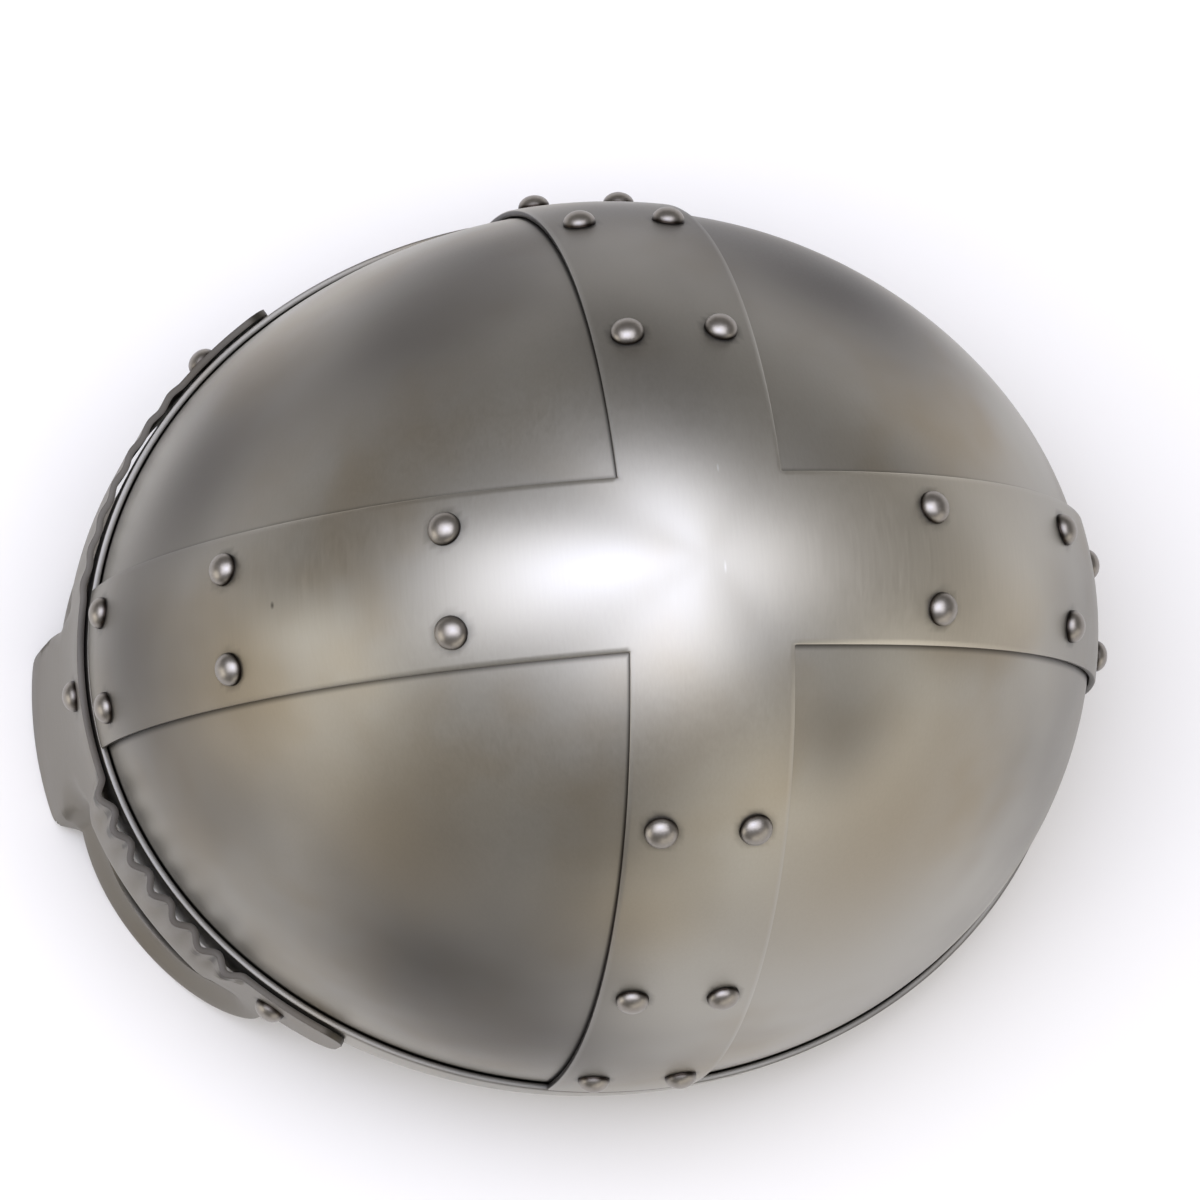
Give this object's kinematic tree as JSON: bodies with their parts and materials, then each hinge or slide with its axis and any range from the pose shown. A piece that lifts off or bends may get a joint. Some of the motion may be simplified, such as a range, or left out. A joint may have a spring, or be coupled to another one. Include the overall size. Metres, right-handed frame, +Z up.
{
  "type": "spectacle helmet",
  "caption": "Rounded steel helmet with a riveted cross over the crown, brow band, fluted eyebrows and spectacle face plate with nose guard, worn to protect head and eyes.",
  "frame": {"origin": "middle of the helmet's bounding box, on the surface it stands on", "axes": "+Z up, the face looks along -Y and the wearer's left is +X; the helmet stands tilted back as it rests on a table"},
  "size_m": [0.2058, 0.252, 0.1737],
  "materials": {
    "patinated_steel": "satin brushed steel with a smoky grey-brown patina",
    "worn_steel": "satin brushed steel, patinated, edges rubbed bright",
    "rivet_steel": "polished domes with darkened rims"
  },
  "bodies": {
    "root": {"panel_front_left": "patinated_steel", "panel_front_right": "patinated_steel", "panel_back_left": "patinated_steel", "panel_back_right": "patinated_steel", "cross_band": "worn_steel", "brow_band": "worn_steel", "face_plate": "worn_steel", "rivet_front_1a": "rivet_steel", "rivet_front_1b": "rivet_steel", "rivet_front_2a": "rivet_steel", "rivet_front_2b": "rivet_steel", "rivet_front_3a": "rivet_steel", "rivet_front_3b": "rivet_steel", "rivet_back_1a": "rivet_steel", "rivet_back_1b": "rivet_steel", "rivet_back_2a": "rivet_steel", "rivet_back_2b": "rivet_steel", "rivet_back_3a": "rivet_steel", "rivet_back_3b": "rivet_steel", "rivet_left_1a": "rivet_steel", "rivet_left_1b": "rivet_steel", "rivet_left_2a": "rivet_steel", "rivet_left_2b": "rivet_steel", "rivet_left_3a": "rivet_steel", "rivet_left_3b": "rivet_steel", "rivet_right_1a": "rivet_steel", "rivet_right_1b": "rivet_steel", "rivet_right_2a": "rivet_steel", "rivet_right_2b": "rivet_steel", "rivet_right_3a": "rivet_steel", "rivet_right_3b": "rivet_steel", "rivet_nose": "rivet_steel", "rivet_temple_left": "rivet_steel", "rivet_temple_right": "rivet_steel"}
  },
  "joints": []
}
